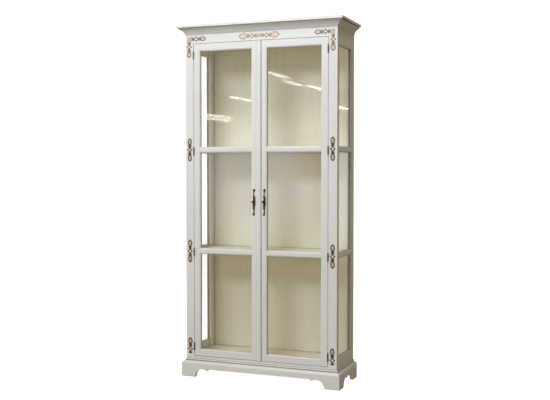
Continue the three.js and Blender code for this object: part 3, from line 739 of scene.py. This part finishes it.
# share of the half width and rise, round a leaf's section: a midrib between two lobes
FOLIAGE_SECTION = ((-1, 0), (-0.55, 0.75), (-0.12, 0.5), (0, 1.15), (0.12, 0.5), (0.55, 0.75),
                   (1, 0), (0.5, -0.45), (-0.5, -0.45))
# centre (across, up), outer radius, start in degrees, turns and height of each rolled scroll
SCROLLS = (((-2.4, 10.5), 4.2, 20, 1.15, 2.6), ((5.2, -18.5), 3.4, 200, 1.1, 2.4))
SCROLL_STEPS = 30
SCROLL_SIDES = 8
# the knob's turned parts, as (distance from the door, radius) pairs
KNOB_UP = 2
KNOB_ROSE = ((4.0, 6.6), (6.2, 7.0), (7.4, 6.2), (8.0, 4.0))
KNOB_NECK = ((7.0, 4.2), (8.6, 4.0), (10.0, 2.7), (13.5, 2.3), (16.5, 2.6), (18.0, 4.0), (18.8, 4.4),
             (19.4, 3.6))
KNOB_BODY = ((18.8, 3.8), (20.2, 5.6), (22.0, 6.9), (24.0, 7.1), (25.8, 6.2), (27.0, 4.6))
KNOB_TIP = ((26.4, 4.4), (27.2, 4.0), (27.6, 3.0), (28.4, 2.4), (28.9, 1.4), (29.0, 0.3))


class HandlePlace:
    """A handle's own axes: across, up and out of the door, in mm from its centre on the door's face."""

    def __init__(self, node):
        low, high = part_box(node)
        self.centre = Vector(((low.x + high.x) / 2, high.y, (low.z + high.z) / 2))

    def at(self, across_mm, up_mm, out_mm):
        return self.centre + Vector((across_mm, -out_mm, up_mm)) * MM


def handle_stem(bm, place):
    """The cast stem, flat on the door and ribbed in front."""
    rings = []
    for i in range(STEM_STEPS + 1):
        up = -HANDLE_HALF + 2 * HANDLE_HALF * i / STEM_STEPS
        lean, half, thick = smooth_step(HANDLE_STATIONS, up)
        rib = 0.10 * min(1, half / 4)
        ring = []
        for j in range(STEM_SIDES):
            turn = math.pi * j / (STEM_SIDES - 1)
            swell = 1 + rib * math.cos(8 * turn)
            out = max(0.15, thick * math.sin(turn) ** 0.75 * swell)
            ring.append(place.at(lean + half * math.cos(turn) * swell, up, out))
        rings.append(ring)
    loft(bm, rings)


def handle_leaf(bm, place, heading, curl, root):
    """A leaf from root (across, up, out) that turns by curl degrees and rises along its length."""
    rings = []
    x, z, out = root
    for i in range(FOLIAGE_STEPS + 1):
        t = i / FOLIAGE_STEPS
        angle = math.radians(heading + curl * t * t)
        if i:
            x += math.cos(angle) * FOLIAGE_LENGTH / FOLIAGE_STEPS
            z += math.sin(angle) * FOLIAGE_LENGTH / FOLIAGE_STEPS
        half = FOLIAGE_WIDTH * (math.sin(math.pi * min(1, 0.12 + 0.88 * t)) ** 0.8) + 0.25
        high = out + FOLIAGE_LIFT * math.sin(math.pi * 0.5 * t)
        normal = (-math.sin(angle), math.cos(angle))
        rings.append([place.at(x + normal[0] * half * share, z + normal[1] * half * share,
                               max(0.1, high + rise * (0.4 + 0.6 * (1 - t))))
                      for share, rise in FOLIAGE_SECTION])
    loft(bm, rings)


def handle_scroll(bm, place, centre, radius, start, turns, out):
    """A rolled scroll: a tapering round rod wound in a spiral."""
    rings = []
    for i in range(SCROLL_STEPS + 1):
        t = i / SCROLL_STEPS
        angle = math.radians(start) + 2 * math.pi * turns * t
        reach = radius * (1 - 0.72 * t)
        rod = 1.35 - 0.55 * t
        ring = []
        for j in range(SCROLL_SIDES):
            turn = 2 * math.pi * j / SCROLL_SIDES
            spread = reach + rod * math.cos(turn)
            ring.append(place.at(centre[0] + spread * math.cos(angle), centre[1] + spread * math.sin(angle),
                                 max(0.1, out + rod * math.sin(turn) + 0.8 * t)))
        rings.append(ring)
    loft(bm, rings)


def handle_knob(bm, place):
    """The pull: a petalled rose on the plate, a waisted neck and a gadrooned button with a tip."""
    origin = place.at(0, KNOB_UP, 0)
    out = (0, -1, 0)
    turned(bm, origin, out, KNOB_ROSE, 40, petals=8, relief=0.09)
    turned(bm, origin, out, KNOB_NECK, 28)
    turned(bm, origin, out, KNOB_BODY, 48, petals=12, relief=0.05)
    turned(bm, origin, out, KNOB_TIP, 24)


def add_handles():
    for side, _ in SIDES:
        node = f"{side}_door_handle"
        place = HandlePlace(node)
        bm = bmesh.new()
        handle_stem(bm, place)
        for heading, curl, root in FOLIAGE:
            handle_leaf(bm, place, heading, curl, root)
        for centre, radius, start, turns, out in SCROLLS:
            handle_scroll(bm, place, centre, radius, start, turns, out)
        handle_knob(bm, place)
        made = piece(f"{side}_door_pull", bm, [bronze], f"{side}_door", CAST_SMOOTH)
        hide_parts(node)


# ---------------------------------------------------------------- painted ornaments

PAINT_LAYER = 0.14  # each coat stands this much prouder than the one below, in mm
BITE = 0.05 * MM  # how far a shape's underside sinks into the wood
TOP_EASE = 0.05 * MM  # height of the soft edge round the top of a shape
TOP_SHRINK = 0.98
LINE, FILL, PEARL, GILT = range(4)
LINE_WIDTH = 5.5
BOW_LENGTH = 16.0
BOW_WIDTH = 27
BOW_WAIST = 14
BOW_LAP = 1  # how far bows and drops overlap
DIAMOND_LENGTH = 32.0
DIAMOND_PEARL = 14
LOBE_REACH = 11.5  # from the diamond's centre to its lobes
LOBE_RADIUS = 5.2
PETAL_REACH = 11.0  # and to its petals, both across and along
PETAL_RADIUS = 3.4
FLOWER_REACH = 7
BAR_SIZE = (23, 7.2)
BAR_STREAK = (12, 1.6)
BAR_SPACING = 10.5
CAP_RADIUS = 13
POST_DROP = (43.0, 29.0)  # length and width of the drops on each part of the frame
CORNER_DROP = (38.0, 30.0)
FRIEZE_DROP = (56.0, 38.0)
DROP_STEPS = 26
DISC_STEPS = 18
CAP_STEPS = 14
# share of a drop's length and of its half width, from its neck to its tip
DROP_SHAPE = ((0.0, 0.42), (0.05, 0.52), (0.20, 0.92), (0.42, 1.0), (0.64, 0.90), (0.80, 0.64),
              (0.90, 0.30), (0.95, 0.17), (1.0, 0.06))


def drop_outline(length, width):
    """A drop from its neck at 0, round towards its far end, with a small tip at length."""
    half = []
    for i in range(DROP_STEPS + 1):
        t = i / DROP_STEPS
        half.append((width / 2 * smooth_step(DROP_SHAPE, t)[0], length * t))
    return half + [(-u, v) for u, v in half[-2::-1]]


def disc_outline(radius, tall=1.0):
    turns = [2 * math.pi * i / DISC_STEPS for i in range(DISC_STEPS)]
    return [(radius * math.cos(t), tall * radius * math.sin(t)) for t in turns]


def lozenge_outline(width, height, hollow):
    """A diamond whose sides bow in, or out if hollow is below 0."""
    corners = [(width / 2, 0), (0, height / 2), (-width / 2, 0), (0, -height / 2)]
    points = []
    for (u0, v0), (u1, v1) in zip(corners, corners[1:] + corners[:1]):
        for t in (0, 0.2, 0.4, 0.6, 0.8):
            pull = 1 - hollow * 4 * t * (1 - t)
            points.append(((u0 + (u1 - u0) * t) * pull, (v0 + (v1 - v0) * t) * pull))
    return points


def bow_outline(width, length, waist):
    """A bow tie: wide at both ends of its length, narrow in the middle."""
    half = [(width / 2, -length / 2), (width / 2, -0.34 * length), (waist / 2, -0.05 * length)]
    half += [(u, -v) for u, v in reversed(half)]
    return half + [(-u, v) for u, v in reversed(half)]


class Ornament:
    """Flat painted shapes for one piece, in mm across (u) and along (v) from a centre."""

    def __init__(self, across_mm, up_mm, drop_size, turn=0):
        self.bm = bmesh.new()
        self.origin = Vector((across_mm * MM, 0, up_mm * MM))
        self.drop_length, self.drop_width = drop_size
        self.turn = math.radians(turn)

    def shape(self, outline, along, colour, coat, lean=0, beside=0):
        """One outline at (beside, along), leaned by degrees, as the coat-th coat of paint."""
        lean = math.radians(lean)
        top = FRAME_FRONT - PAINT_LAYER * (coat + 1) * MM
        rings = []
        for y, shrink in ((FRAME_FRONT + BITE, 1.0), (top + TOP_EASE, 1.0), (top, TOP_SHRINK)):
            ring = []
            for u, v in outline:
                a = beside + shrink * (u * math.cos(lean) - v * math.sin(lean))
                b = along + shrink * (u * math.sin(lean) + v * math.cos(lean))
                x = a * math.cos(self.turn) - b * math.sin(self.turn)
                z = a * math.sin(self.turn) + b * math.cos(self.turn)
                ring.append(self.origin + Vector((x * MM, y, z * MM)))
            rings.append(ring)
        loft(self.bm, rings, colour)

    def drop(self, base, way):
        """A drop with its neck at base and its tip towards way, 1 or -1."""
        length, width = self.drop_length, self.drop_width
        lean = 0 if way > 0 else 180
        self.shape(drop_outline(length, width), base, LINE, 0, lean)
        inner = drop_outline(length - 2.4 * LINE_WIDTH, width - 2 * LINE_WIDTH)
        self.shape(inner, base + way * 0.7 * LINE_WIDTH, FILL, 1, lean)
        self.shape(disc_outline(0.07 * width, 2.2), base + way * length * 0.28, GILT, 2, lean)
        self.shape(disc_outline(0.10 * width, 1.2), base + way * length * 0.52, PEARL, 3, lean)
        for beside in (-0.22 * width, 0.22 * width):
            self.shape(disc_outline(1.3, 2.2), base + way * length * 0.42, GILT, 2, lean, beside)

    def bow(self, centre):
        """A dark bow tie with a gilt knot."""
        self.shape(bow_outline(BOW_WIDTH, BOW_LENGTH + BOW_LAP, BOW_WAIST), centre, LINE, 1)
        self.shape(lozenge_outline(3.6, 5.5, 0.12), centre, GILT, 2)

    def diamond(self, centre):
        """A pearl in a dark diamond with four lobes, and a pearl petal beside each of its edges."""
        for way in (-1, 1):
            for side in (-1, 1):
                along, beside = centre + way * PETAL_REACH, side * PETAL_REACH
                self.shape(disc_outline(PETAL_RADIUS, 1.2), along, PEARL, 1, -45 * way * side, beside)
            self.shape(disc_outline(LOBE_RADIUS), centre + way * LOBE_REACH, LINE, 2)
            self.shape(disc_outline(LOBE_RADIUS), centre, LINE, 2, 0, way * LOBE_REACH)
        self.shape(lozenge_outline(DIAMOND_LENGTH, DIAMOND_LENGTH, -0.02), centre, LINE, 3)
        self.shape(lozenge_outline(DIAMOND_PEARL, DIAMOND_PEARL, -0.2), centre, PEARL, 4)

    def flower(self, centre):
        """A small square flower with a pearl centre."""
        for quarter in range(4):
            lean = 45 + 90 * quarter
            beside = FLOWER_REACH * math.cos(math.radians(lean))
            along = centre + FLOWER_REACH * math.sin(math.radians(lean))
            self.shape(disc_outline(5.6, 1.2), along, LINE, quarter % 2, lean - 90, beside)
            self.shape(disc_outline(2.9, 1.3), along, FILL, 2, lean - 90, beside)
        self.shape(disc_outline(6), centre, LINE, 3)
        self.shape(disc_outline(3.6), centre, PEARL, 4)

    def chain(self, start, way):
        """Bow, diamond, bow and drop, one after the other from start towards way."""
        self.bow(start + way * BOW_LENGTH / 2)
        self.diamond(start + way * (BOW_LENGTH + DIAMOND_LENGTH / 2))
        self.bow(start + way * (1.5 * BOW_LENGTH + DIAMOND_LENGTH))
        self.drop(start + way * (2 * BOW_LENGTH + DIAMOND_LENGTH - BOW_LAP), way)

    def bars(self):
        """Three short upright bars, the middle of the frieze ornament."""
        for i in (-1, 0, 1):
            self.shape(lozenge_outline(*BAR_SIZE, -0.5), i * BAR_SPACING, GILT, 0)
            self.shape(lozenge_outline(*BAR_STREAK, -0.5), i * BAR_SPACING, FILL, 1)

    def cap(self, centre):
        """A dark half moon under the lowest diamond."""
        turns = [math.pi * i / CAP_STEPS for i in range(CAP_STEPS + 1)]
        moon = [(CAP_RADIUS * math.cos(t), -CAP_RADIUS * math.sin(t)) for t in turns]
        self.shape(moon, centre, LINE, 0)
        self.shape([(u * 0.3, v * 0.3) for u, v in moon], centre - 2.4, GILT, 1)

    def done(self, name, colours):
        piece(name, self.bm, colours, "carcass")


# where the motifs sit, in mm up from the floor and out from the middle
FULL_MOTIF_HEIGHTS = {"upper": 1427, "lower": 791}
FOOT_MOTIF_HEIGHT = 190
FOOT_DROP, FOOT_BOW, FOOT_DIAMOND, FOOT_CAP = 13, 6, -18, -35  # along the motif at the post's foot
CORNER_HEIGHT = 2116
CORNER_ACROSS = 471
CHAIN_FROM_CORNER = 16
FRIEZE_DIAMOND = 48


def add_post_ornament(name, side, sign, up):
    """The full motif: a diamond with a bow and a drop above and below."""
    made = Ornament(sign * POST_CENTRE / MM, up, POST_DROP)
    made.diamond(0)
    for way in (-1, 1):
        made.bow(way * (DIAMOND_LENGTH + BOW_LENGTH) / 2)
        made.drop(way * (DIAMOND_LENGTH / 2 + BOW_LENGTH - BOW_LAP), way)
    made.done(f"ornament_{name}_{side}", DARK_ORNAMENT)


def add_foot_ornament(side, sign):
    """The lowest motif stops at its diamond, over a half moon."""
    made = Ornament(sign * POST_CENTRE / MM, FOOT_MOTIF_HEIGHT, POST_DROP)
    made.drop(FOOT_DROP, 1)
    made.bow(FOOT_BOW)
    made.diamond(FOOT_DIAMOND)
    made.cap(FOOT_CAP)
    made.done(f"ornament_foot_{side}", DARK_ORNAMENT)


def add_corner_ornament(side, sign):
    """Two chains at right angles from a flower at the top corner."""
    made = Ornament(sign * CORNER_ACROSS, CORNER_HEIGHT, CORNER_DROP, 90)
    made.flower(0)
    made.chain(sign * CHAIN_FROM_CORNER, sign)
    made.done(f"ornament_corner_{side}", PALE_ORNAMENT)
    made = Ornament(sign * CORNER_ACROSS, CORNER_HEIGHT, CORNER_DROP)
    made.chain(-CHAIN_FROM_CORNER, -1)
    made.done(f"ornament_top_post_{side}", PALE_ORNAMENT)


def add_frieze_ornament():
    made = Ornament(0, CORNER_HEIGHT, FRIEZE_DROP, 90)
    made.bars()
    for way in (-1, 1):
        made.bow(way * (FRIEZE_DIAMOND - (DIAMOND_LENGTH + BOW_LENGTH) / 2))
        made.diamond(way * FRIEZE_DIAMOND)
        made.bow(way * (FRIEZE_DIAMOND + (DIAMOND_LENGTH + BOW_LENGTH) / 2))
        made.drop(way * (FRIEZE_DIAMOND + DIAMOND_LENGTH / 2 + BOW_LENGTH - BOW_LAP), way)
    made.done("ornament_frieze", FRIEZE_ORNAMENT)


def add_ornaments():
    for side, sign in SIDES:
        for name, up in FULL_MOTIF_HEIGHTS.items():
            add_post_ornament(name, side, sign, up)
        add_foot_ornament(side, sign)
        add_corner_ornament(side, sign)
    add_frieze_ornament()


# ---------------------------------------------------------------- small fittings

PEG_ACROSS = 468 * MM  # from the cabinet's middle
PEG_DROP = 2.8 * MM  # from the shelf's underside down to the peg's axis
PEG_REACH = 9.0
# (distance from the post, radius) pairs in mm: a collar and a round shank
PEG_PROFILE = ((0.1, 3.6), (1.0, 3.6), (1.3, 2.4), (PEG_REACH, 2.4), (PEG_REACH + 0.6, 1.8))
SPOON_HALF = 4 * MM
SPOON_START = 1.5 * MM
SPOON_END = (PEG_REACH + 3) * MM
SPOON_THICKNESS = 1.5 * MM

CATCH_CENTRE = 60 * MM
CATCH_HALF = 22 * MM
CATCH_HEIGHT = 13 * MM
CATCH_DEPTH = (2.2 * MM, 17 * MM)  # from and to, behind the door's back
CATCH_SCREW_OUT = 17 * MM
CATCH_SCREW_BACK = 10 * MM
POLE_HALF = 15 * MM
POLE_DEPTH = (1.0 * MM, 6 * MM)
POLE_SHIFT = 3.2 * MM
POLE_RISE = 0.8 * MM
STRIKE_HALF = 17 * MM
STRIKE_HEIGHT = (12 * MM, 1 * MM)  # from and to, below the frieze's lower edge
STRIKE_DEPTH = (0.02 * MM, 0.8 * MM)

BACK_SCREW_PITCH = 0.26
BACK_SCREW_INSET = 9 * MM
BACK_SCREW_MARGIN = 4 * MM


def add_shelf_pegs():
    """Four steel spoon pegs under each shelf."""
    for shelf in ("lower_shelf", "upper_shelf"):
        under = lowest(shelf).z
        bm = bmesh.new()
        for side, sign in SIDES:
            for post, face in ((f"front_post_{side}", 1), (f"rear_post_{side}", -1)):
                wall = highest(post).y if face > 0 else lowest(post).y
                x = sign * PEG_ACROSS
                turned(bm, Vector((x, wall, under - PEG_DROP)), (0, face, 0), PEG_PROFILE, 16)
                near, far = sorted((wall + face * SPOON_START, wall + face * SPOON_END))
                block(bm, (x - SPOON_HALF, near, under - SPOON_THICKNESS),
                      (x + SPOON_HALF, far, under - LOOSE), 0.4 * MM)
        piece(f"{shelf}_pegs", bm, [steel], "carcass")


def add_catches():
    """A magnetic catch under the frieze for each door, and its strike plate on the door."""
    lip = lowest("frieze_rail").z
    for side, sign in SIDES:
        centre = sign * CATCH_CENTRE
        bm = bmesh.new()
        block(bm, (centre - CATCH_HALF, DOOR_BACK + CATCH_DEPTH[0], lip - CATCH_HEIGHT),
              (centre + CATCH_HALF, DOOR_BACK + CATCH_DEPTH[1], lip - LOOSE), 1.2 * MM)
        for shift in (-1, 1):
            pole = lip - CATCH_HEIGHT / 2 - shift * POLE_SHIFT
            block(bm, (centre - POLE_HALF, DOOR_BACK + POLE_DEPTH[0], pole - POLE_RISE),
                  (centre + POLE_HALF, DOOR_BACK + POLE_DEPTH[1], pole + POLE_RISE), 0.2 * MM, 1)
            screw = (centre + shift * CATCH_SCREW_OUT, DOOR_BACK + CATCH_SCREW_BACK, lip - CATCH_HEIGHT)
            screw_head(bm, screw, (0, 0, -1), 2.2, 0.8, 1)
        piece(f"{side}_catch", bm, [white_plastic, steel], "carcass")
        bm = bmesh.new()
        block(bm, (centre - STRIKE_HALF, DOOR_BACK + STRIKE_DEPTH[0], lip - STRIKE_HEIGHT[0]),
              (centre + STRIKE_HALF, DOOR_BACK + STRIKE_DEPTH[1], lip - STRIKE_HEIGHT[1]), 0.3 * MM)
        piece(f"{side}_strike_plate", bm, [steel], f"{side}_door")


def add_back_screws():
    """Round-headed screws round the edge of the back panel."""
    low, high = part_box("back_panel")
    rows = math.floor((high.z - low.z) / BACK_SCREW_PITCH)
    columns = math.floor((high.x - low.x) / BACK_SCREW_PITCH)
    inset = BACK_SCREW_INSET
    places = []
    for i in range(rows + 1):
        z = low.z + inset + (high.z - low.z - 2 * inset) * i / rows
        places += [(low.x + BACK_SCREW_MARGIN, z), (high.x - BACK_SCREW_MARGIN, z)]
    for i in range(1, columns):
        x = low.x + (high.x - low.x) * i / columns
        places += [(x, low.z + 2 * inset), (x, high.z - inset)]
    bm = bmesh.new()
    for x, z in places:
        screw_head(bm, (x, high.y, z), (0, 1, 0), 3.4, 1.3)
    piece("back_panel_screws", bm, [steel], "carcass")


# ---------------------------------------------------------------- the whole scene

bpy.context.scene.view_settings.view_transform = "Standard"
add_camera()
add_lights()
add_world()
add_floor()
finish_frame()
add_beads()
add_hinges()
add_handles()
add_ornaments()
add_shelf_pegs()
add_catches()
add_back_screws()
